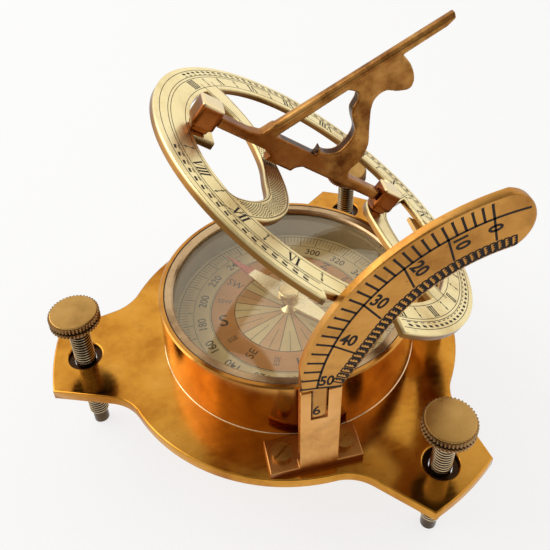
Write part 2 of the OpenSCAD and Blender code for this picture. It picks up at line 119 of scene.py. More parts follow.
def grain(tree, scale, detail, stretch=(1, 1, 1), turn=(0, 0, 0), seed=0.0):
    """Noise on the object's own coordinates, with an optional stretch and turn."""
    move = node_of(tree, "ShaderNodeMapping", {"Vector": place_of(tree), "Scale": stretch,
                                               "Rotation": [math.radians(t) for t in turn]})
    return node_of(tree, "ShaderNodeTexNoise",
                   {"Vector": move.outputs["Vector"], "Scale": scale, "Detail": detail, "Roughness": 0.6, "W": seed},
                   noise_dimensions="4D").outputs["Fac"]


def ramp(tree, source, stops):
    """Colour for each value of the source; the stops run from low to high."""
    r = node_of(tree, "ShaderNodeValToRGB", {"Fac": source})
    band = r.color_ramp.elements
    for end, (place, colour) in ((0, stops[0]), (1, stops[-1])):
        band[end].position, band[end].color = place, (*colour, 1)
    for place, colour in stops[1:-1]:
        band.new(place).color = (*colour, 1)
    return r.outputs["Color"]


def levels(tree, source, low, high, start=0.3, end=0.7):
    """Brings values from start and end to low and high, and holds them there beyond."""
    return node_of(tree, "ShaderNodeMapRange", {"Value": source, "From Min": start, "From Max": end, "To Min": low,
                                                "To Max": high}).outputs["Result"]


def mixed(tree, share, a, b):
    return node_of(tree, "ShaderNodeMix", {0: share, 6: a, 7: b}, data_type="RGBA").outputs[2]


def sums(tree, kind, a, b=None):
    return node_of(tree, "ShaderNodeMath", {0: a} if b is None else {0: a, 1: b}, operation=kind).outputs[0]


def bumped(tree, source, strength, distance, under=None):
    inputs = {"Strength": strength, "Distance": distance, "Height": source}
    if under is not None:
        inputs["Normal"] = under
    return node_of(tree, "ShaderNodeBump", inputs).outputs["Normal"]


def new_finish(name):
    m = bpy.data.materials.new(name)
    m.use_nodes = True
    return m, m.node_tree, m.node_tree.nodes["Principled BSDF"]


def blended(tree, shader, share, other):
    """Gives a share of a finish over to another shader."""
    both = node_of(tree, "ShaderNodeMixShader", {"Fac": share, 1: shader.outputs["BSDF"], 2: other})
    feed(tree, tree.nodes["Material Output"], {"Surface": both.outputs["Shader"]})


def ring_depth(tree):
    """Painted shade: 0 on the hour ring's face and 1 towards its underside, darkening its side wall's lower part."""
    return levels(tree, reach(tree, RING_UP), 1.0, 0.0, (RING_LEVEL + 0.1) * MM, (RING_LEVEL + RING_FACE - 0.2) * MM)


def brass(name, pale, middle, dark, smooth=0.24, rough=0.42, tarnish=0.35, stroke=(1, 1, 1), turn=(0, 0, 0),
          scratch=0.12, seed=0.0, under=False, spread=0.2, clouds=55):
    """Aged brass: cloudy colour, tarnish spots, brushed strokes and a worn sheen."""
    m, tree, shader = new_finish(name)
    cloud = grain(tree, clouds, 5, seed=seed)
    colour = ramp(tree, cloud, ((0.5 - spread, dark), (0.5, middle), (0.5 + 1.1 * spread, pale)))
    stain = levels(tree, grain(tree, 160, 6, seed=seed + 3), 0, tarnish, 0.55, 0.75)
    colour = mixed(tree, stain, colour, [c * 0.45 for c in dark])
    specks = grain(tree, 900, 2, seed=seed + 7)
    colour = mixed(tree, levels(tree, specks, 0, 0.5, 0.68, 0.74), colour, [c * 0.3 for c in dark])
    # With under, painted shade darkens the hour ring's side wall towards its underside
    if under:
        colour = mixed(tree, ring_depth(tree), colour, (0.23, 0.11, 0.028))
    strokes = grain(tree, 300, 3, stretch=stroke, turn=turn, seed=seed + 11)
    feed(tree, shader, {
        "Base Color": colour, "Metallic": 1.0,
        "Roughness": levels(tree, mixed(tree, 0.5, cloud, strokes), smooth, rough, 0.35, 0.65),
        "Normal": bumped(tree, specks, 0.05, 0.0001, bumped(tree, strokes, scratch, 0.0002))})
    return m


def filling(name, colour, sheen, seed, fade=0.5):
    """Wax or ink that fills engraved and printed lines, worn a little thinner in places."""
    m, tree, shader = new_finish(name)
    wear = grain(tree, 700, 3, seed=seed)
    worn = [min(1, c + fade * (0.3 - 0.2 * c)) for c in colour]
    feed(tree, shader, {
        "Base Color": mixed(tree, levels(tree, wear, 0, 1, 0.45, 0.8), colour, worn),
        "Roughness": levels(tree, wear, *sheen), "Normal": bumped(tree, wear, 0.1, 0.0001),
        "Specular IOR Level": 0.25})
    return m


def paper(name, pale, deep, seed):
    """Printed card, slightly yellowed."""
    m, tree, shader = new_finish(name)
    fibre = grain(tree, 2600, 2, seed=seed + 5)
    feed(tree, shader, {
        "Base Color": ramp(tree, grain(tree, 90, 5, seed=seed), ((0.3, deep), (0.7, pale))),
        "Roughness": levels(tree, fibre, 0.5, 0.7), "Normal": bumped(tree, fibre, 0.1, 0.0001)})
    return m


def pane(name):
    """Clear window glass that lets the light through to the card."""
    m, tree, shader = new_finish(name)
    smear = grain(tree, 120, 4)
    feed(tree, shader, {
        "Base Color": (0.99, 0.96, 0.88), "Transmission Weight": 1.0, "IOR": 1.6, "Specular Tint": (1.0, 0.93, 0.78),
        "Roughness": levels(tree, smear, 0.0, 0.05), "Normal": bumped(tree, smear, 0.02, 0.0002)})
    clear = node_of(tree, "ShaderNodeBsdfTransparent", {"Color": (0.99, 0.97, 0.92)})
    blended(tree, shader, node_of(tree, "ShaderNodeLightPath").outputs["Is Shadow Ray"], clear.outputs["BSDF"])
    return m


def needle_finish():
    """Bright needle with a red north tip."""
    m, tree, shader = new_finish("needle_lacquer")
    cloud = grain(tree, 200, 4, seed=2)
    gold = ramp(tree, cloud, ((0.2, (0.78, 0.66, 0.4)), (0.8, (0.94, 0.86, 0.64))))
    tip = levels(tree, reach(tree, (*polar(1, NEEDLE_TURN), 0)), 0, 1, 14.5 * MM, 15 * MM)
    feed(tree, shader, {
        "Base Color": mixed(tree, tip, gold, (0.42, 0.09, 0.05)), "Metallic": levels(tree, tip, 1.0, 0.3, 0, 1),
        "Roughness": levels(tree, cloud, 0.18, 0.34), "Normal": bumped(tree, cloud, 0.05, 0.0001)})
    return m


# Each brass: its pale, middle and dark colour, its smoothest and roughest sheen, and how much it is tarnished
PLATE = brass("plate_brass", (0.74, 0.37, 0.07), (0.60, 0.27, 0.035), (0.36, 0.12, 0.012), 0.1, 0.22, 0.3,
              stroke=(1, 3, 1), turn=(0, 0, 25), scratch=0.015, seed=1)
BOX = brass("turned_box_brass", (0.66, 0.33, 0.08), (0.52, 0.235, 0.045), (0.32, 0.11, 0.018), 0.09, 0.2, 0.35,
            stroke=(0.6, 0.6, 14), scratch=0.03, seed=4)
RIM = brass("bezel_brass", (0.62, 0.45, 0.26), (0.44, 0.29, 0.155), (0.20, 0.11, 0.05), 0.12, 0.26, 0.5,
            scratch=0.06, seed=6)
DIAL = brass("silvered_dial_brass", (0.97, 0.84, 0.49), (0.91, 0.75, 0.37), (0.68, 0.48, 0.18), 0.22, 0.4, 0.3,
             stroke=(3, 1, 1), scratch=0.06, seed=8, under=True)
SCALE = brass("arc_scale_brass", (0.72, 0.37, 0.095), (0.58, 0.275, 0.06), (0.32, 0.13, 0.025), 0.26, 0.44, 0.4,
              stroke=(1, 1, 5), turn=(0, 30, 0), scratch=0.06, seed=12)
BRACKET = brass("bracket_brass", (0.84, 0.45, 0.16), (0.70, 0.34, 0.09), (0.42, 0.17, 0.035), 0.24, 0.4, 0.35,
                stroke=(6, 6, 1), scratch=0.06, seed=15)
CASTING = brass("antiqued_casting", (0.58, 0.31, 0.09), (0.36, 0.16, 0.038), (0.13, 0.04, 0.008), 0.2, 0.4, 0.85,
                scratch=0.22, seed=18, spread=0.15, clouds=120)
POST = brass("antiqued_post", (0.38, 0.12, 0.025), (0.22, 0.06, 0.01), (0.09, 0.02, 0.004), 0.14, 0.3, 0.4,
             scratch=0.08, seed=21)
POINT = brass("oiled_point", (0.15, 0.10, 0.055), (0.08, 0.05, 0.025), (0.03, 0.016, 0.008), 0.12, 0.3, 0.4, seed=22)
KNURL = brass("knurled_brass", (0.48, 0.29, 0.12), (0.28, 0.15, 0.05), (0.10, 0.05, 0.02), 0.26, 0.46, 0.5, seed=24)
FACED = brass("faced_screw_head", (0.62, 0.37, 0.12), (0.46, 0.26, 0.075), (0.26, 0.13, 0.035), 0.2, 0.36, 0.4,
              scratch=0.08, seed=26)
THREAD = brass("thread_brass", (0.92, 0.74, 0.5), (0.74, 0.55, 0.32), (0.36, 0.24, 0.12), 0.18, 0.34, 0.5, seed=28)
SOLDER = brass("bright_seam", (0.95, 0.82, 0.62), (0.86, 0.66, 0.42), (0.6, 0.36, 0.16), 0.2, 0.35, 0.2, seed=31)
HINGE = brass("hinge_brass", (0.74, 0.50, 0.22), (0.56, 0.34, 0.12), (0.30, 0.15, 0.05), 0.24, 0.4, 0.4, seed=33)
BRIGHT = brass("bright_stud", (0.92, 0.82, 0.58), (0.84, 0.68, 0.38), (0.6, 0.42, 0.2), 0.15, 0.3, 0.2, seed=36)
WAX = filling("black_wax", (0.016, 0.007, 0.003), (0.5, 0.75), seed=41, fade=0.06)
WORN_WAX = filling("worn_dark_wax", (0.06, 0.033, 0.015), (0.5, 0.75), seed=43, fade=0.3)
SMOKE = filling("oily_black", (0.02, 0.013, 0.009), (0.3, 0.5), seed=44, fade=0.08)
INK = filling("card_ink", (0.035, 0.03, 0.022), (0.5, 0.7), seed=45)
OCHRE = paper("card_ochre", (0.66, 0.32, 0.11), (0.52, 0.22, 0.06), seed=47)
CARD = paper("card_cream", (0.82, 0.66, 0.36), (0.68, 0.52, 0.26), seed=49)
ROSE = paper("card_rose_tint", (0.74, 0.46, 0.23), (0.60, 0.34, 0.16), seed=51)
GLASS = pane("window_glass")
LACQUER = needle_finish()


def tinted(finish, mask, colour):
    """Gives a finish another colour where the mask is 1."""
    shader = finish.node_tree.nodes["Principled BSDF"]
    old = shader.inputs["Base Color"].links[0].from_socket
    feed(finish.node_tree, shader, {"Base Color": mixed(finish.node_tree, mask, old, colour)})


def painted_well(finish, radius):
    """Paints the compass box khaki and not metallic inside a radius and below the window's ledge: a painted
    reflection of the card in its brass wall.
    """
    tree = finish.node_tree
    inner = levels(tree, off_axis(tree), 1, 0, (radius - 0.02) * MM, (radius + 0.02) * MM)
    below = levels(tree, reach(tree, UP), 1, 0, (BASE_TOP + 16.9) * MM, (BASE_TOP + 17.0) * MM)
    paint = sums(tree, "MULTIPLY", inner, below)
    tinted(finish, paint, (0.34, 0.28, 0.17))
    feed(tree, tree.nodes["Principled BSDF"], {"Metallic": levels(tree, paint, 1.0, 0.0, 0, 1)})


def renamed(finish, name):
    copy = finish.copy()
    copy.name = name
    return copy


def bright_crest(finish, name, x, y):
    """Copy of a finish with painted shade, near black, in the roots of a thread; its crest keeps the bright finish."""
    copy = renamed(finish, name)
    root_shade = levels(copy.node_tree, off_axis(copy.node_tree, x, y), 1, 0, 2.64 * MM, 2.76 * MM)
    tinted(copy, root_shade, (0.02, 0.012, 0.007))
    return copy


def oily_recess(finish):
    """Paints shade into the recess round each levelling screw, below the plate's top."""
    tree = finish.node_tree
    low = levels(tree, reach(tree, UP), 1, 0, (BASE_TOP - 0.7) * MM, (BASE_TOP - 0.5) * MM)
    for angle in SCREW_ANGLES:
        near = levels(tree, off_axis(tree, *polar(SCREW_CIRCLE, angle)), 1, 0, 4.75 * MM, 4.85 * MM)
        tinted(finish, sums(tree, "MULTIPLY", near, low), (0.04, 0.02, 0.01))


def foot_shade(finish):
    """Paints shade on the bracket's foot, darkest next to the base plate."""
    tree = finish.node_tree
    low = levels(tree, reach(tree, UP), 1, 0, (BASE_TOP + 1.2) * MM, (BASE_TOP + 2.6) * MM)
    tinted(finish, low, (0.26, 0.09, 0.03))


def old_patina(finish):
    """Leaves a casting red-brown near the hour ring, its old patina, and paints shade on its sawn inner edges."""
    tree = finish.node_tree
    above = reach(tree, RING_UP)
    cloud = levels(tree, grain(tree, 130, 4, seed=71), -6 * MM, 6 * MM)
    low = levels(tree, sums(tree, "ADD", above, cloud), 0.8, 0.0, (RING_LEVEL + 4) * MM, (RING_LEVEL + 11) * MM)
    tinted(finish, low, (0.24, 0.075, 0.015))
    # Painted shade, near black, on the window's inner edges: away from the faces, below the style and above the bar
    out = (RING_PLANE.to_3x3() @ STYLE_OUT).normalized()
    style = (RING_PLANE @ STYLE_FOOT).dot(out)
    edge = levels(tree, sums(tree, "ABSOLUTE", reach(tree, (0, 1, 0))), 1.0, 0.0, 0.9 * MM, 1.2 * MM)
    inside = levels(tree, reach(tree, out), 1.0, 0.0, (style - 4.4) * MM, (style - 3.9) * MM)
    clear = levels(tree, above, 0.0, 1.0, (RING_LEVEL + 7) * MM, (RING_LEVEL + 8) * MM)
    tinted(finish, sums(tree, "MULTIPLY", sums(tree, "MULTIPLY", edge, inside), clear), (0.05, 0.018, 0.005))


def worn_top(node, finish, name):
    """Copy of a finish with a painted highlight on a post's top face."""
    top = max(v.co.dot(RING_UP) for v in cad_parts[node].data.vertices)
    copy = renamed(finish, name)
    tree = copy.node_tree
    tinted(copy, levels(tree, reach(tree, RING_UP), 0, 1, top - 0.75 * MM, top - 0.35 * MM), (0.82, 0.66, 0.38))
    return copy


def coat(mesh, finish):
    mesh.materials.clear()
    mesh.materials.append(finish)
    for p in mesh.polygons:
        p.material_index = 0


# Painted reflection of the card on the box's inner wall
painted_well(BOX, 35.1)
# Painted shade in the recess round each levelling screw
oily_recess(PLATE)
# Painted shade on the arc bracket's foot
foot_shade(BRACKET)
for node, finish in (("base_plate", PLATE), ("compass_box", BOX), ("glass", GLASS), ("bezel", RIM),
                     ("compass_card", CARD), ("needle_pivot", BRIGHT), ("needle", LACQUER), ("needle_cap", BRIGHT),
                     ("hour_ring", DIAL), ("hinge_bracket", HINGE), ("hinge_bracket_screws", HINGE),
                     ("hinge_leaf", HINGE), ("hinge_leaf_rivets", HINGE), ("hinge_pin", HINGE),
                     ("arc_bracket", BRACKET), ("arc_bracket_screws", FACED), ("arc_pivot_pin", FACED),
                     ("latitude_arc", SCALE), ("gnomon", CASTING), ("gnomon_pivots", HINGE),
                     ("gnomon_post_south", POST), ("gnomon_post_north", POST), ("levelling_screw_1", KNURL),
                     ("levelling_screw_2", KNURL), ("levelling_screw_3", KNURL)):
    coat(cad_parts[node].data, finish)


# ---- shapes

def placed(name, data):
    o = bpy.data.objects.new(name, data)
    bpy.context.scene.collection.objects.link(o)
    return o


def mesh_of(name, bm):
    mesh = bpy.data.meshes.new(name)
    bm.to_mesh(mesh)
    bm.free()
    return mesh


def final_mesh(o):
    """The mesh that an object's modifiers make."""
    bpy.context.view_layer.update()
    return bpy.data.meshes.new_from_object(o.evaluated_get(bpy.context.evaluated_depsgraph_get()))


def shown(name, meshes, body, plane=UPRIGHT):
    """Piece of one mesh or several, brought from its plane to the frame and given its body."""
    mesh = meshes if isinstance(meshes, bpy.types.Mesh) else joined(name, meshes)
    mesh.transform(TO_METRES @ plane)
    o = placed(name, mesh)
    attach(o, body)
    return o


def smooth(mesh, angle):
    mesh.polygons.foreach_set("use_smooth", [True] * len(mesh.polygons))
    mesh.set_sharp_from_angle(angle=math.radians(angle))


def area(line):
    return sum(a[0] * b[1] - b[0] * a[1] for a, b in zip(line, line[1:] + line[:1])) / 2


def slabs(name, outlines, low, high, finish=None):
    """Thin closed shapes in one plane, one for each outline, from height low to height high."""
    verts, faces = [], []
    for line in outlines:
        line = list(line) if area(list(line)) > 0 else list(line)[::-1]
        k, n = len(verts), len(line)
        verts += [(x, y, low) for x, y in line] + [(x, y, high) for x, y in line]
        faces.append([k + n - 1 - i for i in range(n)])
        faces.append([k + n + i for i in range(n)])
        faces += [(k + i, k + (i + 1) % n, k + n + (i + 1) % n, k + n + i) for i in range(n)]
    mesh = bpy.data.meshes.new(name)
    mesh.from_pydata(verts, [], faces)
    if finish:
        mesh.materials.append(finish)
    return mesh


def bend(r0, r1, a0, a1, n=12):
    """Outline of a strip between two radii and two angles."""
    return ([polar(r1, a0 + (a1 - a0) * i / n) for i in range(n + 1)]
            + [polar(r0, a1 + (a0 - a1) * i / n) for i in range(n + 1)])


def hoop(r0, r1):
    """Outlines of the twelve strips that make a whole band between two radii."""
    return [bend(r0, r1, a, a + 30) for a in range(0, 360, 30)]


def stroke(a, b, wa, wb=None):
    """Outline of a straight cut from a to b, with its width at either end."""
    wb = wa if wb is None else wb
    d = Vector((b[0] - a[0], b[1] - a[1])).normalized()
    n = Vector((-d.y, d.x))
    return [(a[0] - n.x * wa / 2, a[1] - n.y * wa / 2), (b[0] - n.x * wb / 2, b[1] - n.y * wb / 2),
            (b[0] + n.x * wb / 2, b[1] + n.y * wb / 2), (a[0] + n.x * wa / 2, a[1] + n.y * wa / 2)]


def moved(lines, angle, x=0.0, y=0.0):
    """The outlines turned by an angle and then placed at x, y."""
    c, s = polar(1, angle)
    return [[(x + c * u - s * v, y + s * u + c * v) for u, v in line] for line in lines]


def joined(name, meshes):
    """One mesh out of several, which keep their finishes."""
    finishes, bm = [], bmesh.new()
    for mesh in meshes:
        first = len(bm.faces)
        bm.from_mesh(mesh)
        bm.faces.ensure_lookup_table()
        finishes += [f for f in mesh.materials if f not in finishes]
        index = [finishes.index(f) for f in mesh.materials]
        for face in bm.faces[first:]:
            face.material_index = index[face.material_index] if index else 0
    out = mesh_of(name, bm)
    for f in finishes:
        out.materials.append(f)
    return out


def turned(name, profile, finish, centre=(0, 0)):
    """Solid of revolution about a vertical axis. The profile runs from bottom to top, with its ends on the axis."""
    steps, bm, rings = 64, bmesh.new(), []
    for r, z in profile:
        spots = [(0, 0)] if r < 1e-6 else [polar(r, 360 * k / steps) for k in range(steps)]
        rings.append([bm.verts.new((centre[0] + x, centre[1] + y, z)) for x, y in spots])
    for a, b in zip(rings, rings[1:]):
        for k in range(steps):
            j = (k + 1) % steps
            corners = list(dict.fromkeys((a[k % len(a)], a[j % len(a)], b[j % len(b)], b[k % len(b)])))
            if len(corners) > 2:
                bm.faces.new(corners)
    bmesh.ops.recalc_face_normals(bm, faces=bm.faces)
    mesh = mesh_of(name, bm)
    mesh.materials.append(finish)
    smooth(mesh, 20)
    for p in mesh.polygons:
        if abs(p.normal.z) > 0.999:
            p.use_smooth = False
    return mesh


# ---- repeats

def tree_with(name, inputs):
    """New tree with named inputs. Returns the tree, the sockets of its inputs and its output node."""
    tree = bpy.data.node_groups.new(name, "GeometryNodeTree")
    for label, kind, value in inputs:
        s = tree.interface.new_socket(label, in_out="INPUT", socket_type="NodeSocket" + kind)
        if value is not None:
            s.default_value = value
    tree.interface.new_socket("Result", in_out="OUTPUT", socket_type="NodeSocketGeometry")
    return tree, tree.nodes.new("NodeGroupInput").outputs, tree.nodes.new("NodeGroupOutput")


def finish_tree(tree, source, given, outlet):
    """Makes the copies real, coats them and hands them to the tree's output."""
    real = node_of(tree, "GeometryNodeRealizeInstances", {0: source})
    paint = node_of(tree, "GeometryNodeSetMaterial", {"Geometry": real.outputs[0], "Material": given["Finish"]})
    feed(tree, outlet, {0: paint.outputs[0]})
    return tree


def make_round_tree():
    """Copies of a motif at even steps round a centre; the motif's X points outwards."""
    tree, given, outlet = tree_with("marks_round_a_centre", (
        ("Motif", "Geometry", None), ("Count", "Int", 12), ("Radius", "Float", 10.0), ("First Angle", "Float", 0.0),
        ("Step", "Float", 0.1), ("Finish", "Material", None)))
    index = node_of(tree, "GeometryNodeInputIndex").outputs[0]
    angle = sums(tree, "ADD", sums(tree, "MULTIPLY", index, given["Step"]), given["First Angle"])
    x, y = (sums(tree, "MULTIPLY", sums(tree, kind, angle), given["Radius"]) for kind in ("COSINE", "SINE"))
    place = node_of(tree, "ShaderNodeCombineXYZ", {0: x, 1: y})
    points = node_of(tree, "GeometryNodePoints", {"Count": given["Count"], "Position": place.outputs[0]})
    euler = node_of(tree, "ShaderNodeCombineXYZ", {2: angle})
    spin = node_of(tree, "FunctionNodeEulerToRotation", {0: euler.outputs[0]})
    copies = node_of(tree, "GeometryNodeInstanceOnPoints", {
        "Points": points.outputs[0], "Instance": given["Motif"], "Rotation": spin.outputs[0]})
    return finish_tree(tree, copies.outputs[0], given, outlet)


def make_thread_tree():
    """Screw thread: a diamond profile swept along a helix."""
    tree, given, outlet = tree_with("screw_thread", (
        ("Blank", "Geometry", None), ("Turns", "Float", 10.0), ("Pitch", "Float", 1.0), ("Radius", "Float", 2.6),
        ("Ridge", "Float", 0.42), ("Flatness", "Float", 0.6), ("Finish", "Material", None)))
    helix = node_of(tree, "GeometryNodeCurveSpiral", {
        "Resolution": 28, "Rotations": given["Turns"], "Start Radius": given["Radius"],
        "End Radius": given["Radius"], "Height": sums(tree, "MULTIPLY", given["Turns"], given["Pitch"])})
    upright = node_of(tree, "GeometryNodeSetCurveNormal", {"Curve": helix.outputs[0]}, mode="Z_UP")
    ridge = node_of(tree, "GeometryNodeCurvePrimitiveCircle", {"Resolution": 4, "Radius": given["Ridge"]})
    squeeze = node_of(tree, "ShaderNodeCombineXYZ", {0: given["Flatness"], 1: 1.0, 2: 1.0})
    thin = node_of(tree, "GeometryNodeTransform", {"Geometry": ridge.outputs[0], "Scale": squeeze.outputs[0]})
    sweep = node_of(tree, "GeometryNodeCurveToMesh", {
        "Curve": upright.outputs[0], "Profile Curve": thin.outputs[0], "Fill Caps": True})
    return finish_tree(tree, sweep.outputs[0], given, outlet)


ROUND_TREE = make_round_tree()
THREAD_TREE = make_thread_tree()


def grown(name, mesh, tree, **inputs):
    """The mesh that a tree makes out of a mesh, with the tree's inputs set by name."""
    o = placed(name, mesh)
    mod = o.modifiers.new("repeat", "NODES")
    mod.node_group = tree
    for s in tree.interface.items_tree:
        key = s.name.replace(" ", "_").lower()
        if s.in_out == "INPUT" and key in inputs:
            mod[s.identifier] = inputs[key]
    made = final_mesh(o)
    made.name = name
    o.modifiers.clear()
    bpy.data.objects.remove(o)
    return made


def marks_round(name, outline, low, high, radius, first, step, count, finish):
    """Repeats a flat outline round a centre. Angles are in degrees; the outline's X points outwards."""
    return grown(name, slabs(name + "_motif", [outline], low, high), ROUND_TREE, count=count, radius=float(radius),
                 first_angle=math.radians(first), step=math.radians(step), finish=finish)


# ---- letters

def roman(text, height, bold=0.5, thin=0.17):
    """Engraved Roman numeral, centred on the origin, with serifs; its lines stand upright in the outline plane."""
    wide = {"I": 0.95, "V": 2.1, "X": 2.1}
    left, h, lines = -sum(wide[c] for c in text) / 2, height / 2, []
    for c in text:
        m = left + wide[c] / 2
        left += wide[c]
        if c == "I":
            lines.append(stroke((m, -h), (m, h), bold))
            serifs = ((-0.42, 0.42, h), (-0.42, 0.42, -h))
        elif c == "V":
            lines += [stroke((m - 0.72, h), (m + 0.03, -h), bold, bold * 0.8),
                      stroke((m + 0.72, h), (m + 0.06, -h), thin)]
            serifs = ((-1.0, -0.35, h), (0.45, 0.98, h))
        else:
            lines += [stroke((m - 0.72, h), (m + 0.72, -h), bold), stroke((m + 0.72, h), (m - 0.72, -h), thin)]
            serifs = ((-1.0, -0.4, h), (0.45, 0.98, h), (-0.98, -0.45, -h), (0.4, 1.0, -h))
        lines += [stroke((m + a, y), (m + b, y), thin) for a, b, y in serifs]
    return lines


def lettering(text, size, finish, heavy=0.0, depth=0.02):
    """Plain letters or figures as a closed mesh, centred on the origin."""
    curve = bpy.data.curves.new("letters_" + text, "FONT")
    curve.body, curve.size, curve.extrude, curve.offset = text, size, depth, heavy
    curve.align_x, curve.align_y = "CENTER", "CENTER"
    curve.resolution_u = 4
    o = placed(curve.name, curve)
    mesh = final_mesh(o)
    bpy.data.objects.remove(o)
    coat(mesh, finish)
    xs, ys = [v.co.x for v in mesh.vertices], [v.co.y for v in mesh.vertices]
    mesh.transform(Matrix.Translation((-(min(xs) + max(xs)) / 2, -(min(ys) + max(ys)) / 2, 0)))
    return mesh


def put(mesh, x, y, angle, z=0.0, stretch=(1, 1)):
    mesh.transform(Matrix.Translation((x, y, z)) @ Matrix.Rotation(math.radians(angle), 4, "Z")
                   @ Matrix.Diagonal((stretch[0], stretch[1], 1, 1)))
    return mesh


# ---- hour ring

# Depth of the engraved lines, the dial angles of the ring's notch, and the radius where the hour band begins
CUT_LOW, CUT_HIGH = RING_FACE - 0.05, RING_FACE + 0.02
NOTCH = (82.0, 109.5)
BAND_START = 39.0


def clear_runs(first, step, count):
    """Splits an even row of dial marks into the runs on either side of the ring's notch."""
    runs, run = [], []
    for k in range(count):
        a = (first + step * k) % 360
        if NOTCH[0] < a < NOTCH[1]:
            if run:
                runs.append(run)
            run = []
        else:
            run.append(first + step * k)
    if run:
        runs.append(run)
    return runs


def smooth_curve(points, n):
    """Curve through control points, n steps a span, as on the ring's arms."""
    out = []
    for i in range(len(points) - 1):
        a, b, c, d = points[max(i - 1, 0)], points[i], points[i + 1], points[min(i + 2, len(points) - 1)]
        for k in range(n):
            t = k / n
            out.append(tuple(0.5 * (2 * q + (r - p) * t + (2 * p - 5 * q + 4 * r - s) * t * t
                                    + (3 * q - p - 3 * r + s) * t ** 3) for p, q, r, s in zip(a, b, c, d)))
    return out + [tuple(points[-1])]


# Middle lines of the two arms: x, y and half the width at each point
SOUTH_ARM = [(-33, 29.5, 3.6), (-27, 24, 3.3), (-20.3, 14, 2.3), (-17.6, 0, 2.4), (-17.8, -10.5, 3.1),
             (-19.5, -18.2, 2.8), (-24.8, -23.6, 2.9), (-31.5, -25.6, 3.2), (-37, -23.5, 3.8)]
NORTH_ARM = [(38.5, 22.5, 3.8), (32.5, 16, 3.2), (24, 7.5, 3.1), (18.5, 0, 3.4), (18, -8, 3), (20, -17.5, 2.9),
             (24, -27, 3.1), (29, -34.5, 3.8)]


def along(points, side, width, lo, hi, inset=0.55):
    """Cut line that follows one edge of an arm, over a part of its length."""
    q = smooth_curve(points, 8)
    q = q[int(lo * (len(q) - 1)):int(hi * (len(q) - 1)) + 1]
    mid = []
    for i, p in enumerate(q):
        a, b = q[max(i - 1, 0)], q[min(i + 1, len(q) - 1)]
        d = Vector((b[0] - a[0], b[1] - a[1])).normalized()
        k = side * (p[2] - inset)
        mid.append((p[0] - d.y * k, p[1] + d.x * k))
    return [stroke(a, b, width) for a, b in zip(mid, mid[1:])]


def cross_hatching(points, lo, hi, pitch=0.62):
    """Small diamonds in staggered rows over an arm."""
    q = smooth_curve(points, 16)
    q = q[int(lo * (len(q) - 1)):int(hi * (len(q) - 1))]
    marks, run, row = [], 0.0, 0
    for a, b in zip(q, q[1:]):
        d = Vector((b[0] - a[0], b[1] - a[1]))
        run += d.length
        if run < pitch * 0.62:
            continue
        run, row = 0.0, row + 1
        n = Vector((-d.y, d.x)).normalized()
        half = a[2] - 1.0
        count = int(2 * half / pitch)
        for k in range(count + 1):
            s = (k - count / 2) * pitch + (pitch / 2 if row % 2 else 0)
            x, y = a[0] + n.x * s, a[1] + n.y * s
            if abs(s) < half and math.hypot(x, y) < BAND_START:
                marks.append((x, y, math.degrees(math.atan2(d.y, d.x))))
    return marks


def engrave_ring():
    # Circles that border the hour band; the outer ones stop at the notch
    cuts = hoop(40.42, 40.58)
    for r, first, last in ((44.3, -82.5, 260.5), (45.05, -81.8, 250.2), (47.2, -82.4, 250.9)):
        part = (last - first) / 12
        cuts += [bend(r - 0.08, r + 0.08, first + part * k, first + part * (k + 1)) for k in range(12)]
    # Hour numerals, with noon at the north end, and half-hour arrows between them
    numerals = ("IIII", "V", "VI", "VII", "VIII", "IX", "X", "XI", "XII",
                "I", "II", "III", "IIII", "V", "VI", "VII", "VIII")
    arrow = [stroke((40.7, 0), (43.6, 0), 0.2), [(44.0, 0), (42.9, 0.42), (43.25, 0), (42.9, -0.42)],
             stroke((41.2, -0.35), (41.6, 0), 0.16), stroke((41.2, 0.35), (41.6, 0), 0.16)]
    for hour, numeral in enumerate(numerals, -8):
        a = NOON + HOUR * hour
        cuts += moved(roman(numeral, 2.9), 90 - a, *on_dial(42.45, a))
        cuts += moved(arrow, -NOON - HOUR * (hour + 0.5))
    parts = [slabs("ring_cuts", cuts, CUT_LOW, CUT_HIGH, WAX)]
    # Ten-minute marks: thin dashes inside, slanted bars outside
    step = HOUR / 6
    dash = [(-0.11, -0.62), (0.11, -0.62), (0.11, 0.62), (-0.11, 0.62)]
    slant = [(-0.42, -0.68), (0.2, -0.68), (0.42, 0.62), (-0.2, 0.62)]
    for k, run in enumerate(clear_runs(NOON - 8 * HOUR, step, 100)):
        for row, mark, r in (("dash_row", dash, 45.4), ("bar_row", slant, 46.35)):
            parts.append(marks_round(f"{row}_{k}", mark, CUT_LOW, CUT_HIGH, r, -run[0] - step / 2, -step,
                                     len(run) - 1, WAX))
    shown("hour_ring_engraving", parts, "ring", RING_PLANE)
    # Arms: border cuts and hatching
    borders = [line for arm, lo, hi in ((SOUTH_ARM, 0.05, 0.96), (NORTH_ARM, 0.06, 0.94)) for side in (1, -1)
               for line in along(arm, side, 0.2, lo, hi)]
    borders += along(NORTH_ARM, 1, 0.14, 0.06, 0.94, 1.15)
    arms = [slabs("arm_borders", borders, CUT_LOW, CUT_HIGH, WORN_WAX)]
    diamond = [(-0.24, 0), (0, -0.2), (0.24, 0), (0, 0.2)]
    for name, arm, lo, hi in (("arm_hatching", SOUTH_ARM, 0.3, 0.93), ("north_hatching", NORTH_ARM, 0.15, 0.42)):
        marks = [moved([diamond], turn, x, y)[0] for x, y, turn in cross_hatching(arm, lo, hi)]
        arms.append(slabs(name, marks, CUT_LOW, CUT_HIGH, WORN_WAX))
    shown("ring_arm_engraving", arms, "ring", RING_PLANE)


# ---- latitude arc

# Depth of the engraved lines, the elevations of the lines from 0 to 50, and where the inner edge runs off straight
ARC_LOW, ARC_HIGH = -0.05, 0.02
TENS = (73.7, 62.1, 50.0, 36.5, 21.9, 6.0)
SWING = 29.76


def on_arc(r, elevation):
    return polar(r, 180 - elevation)


def inner_edge(elevation):
    """Radius of the arc's inner edge, which runs off straight towards the shoulder."""
    return 38.8 / math.cos(math.radians(max(0.0, SWING - elevation)))


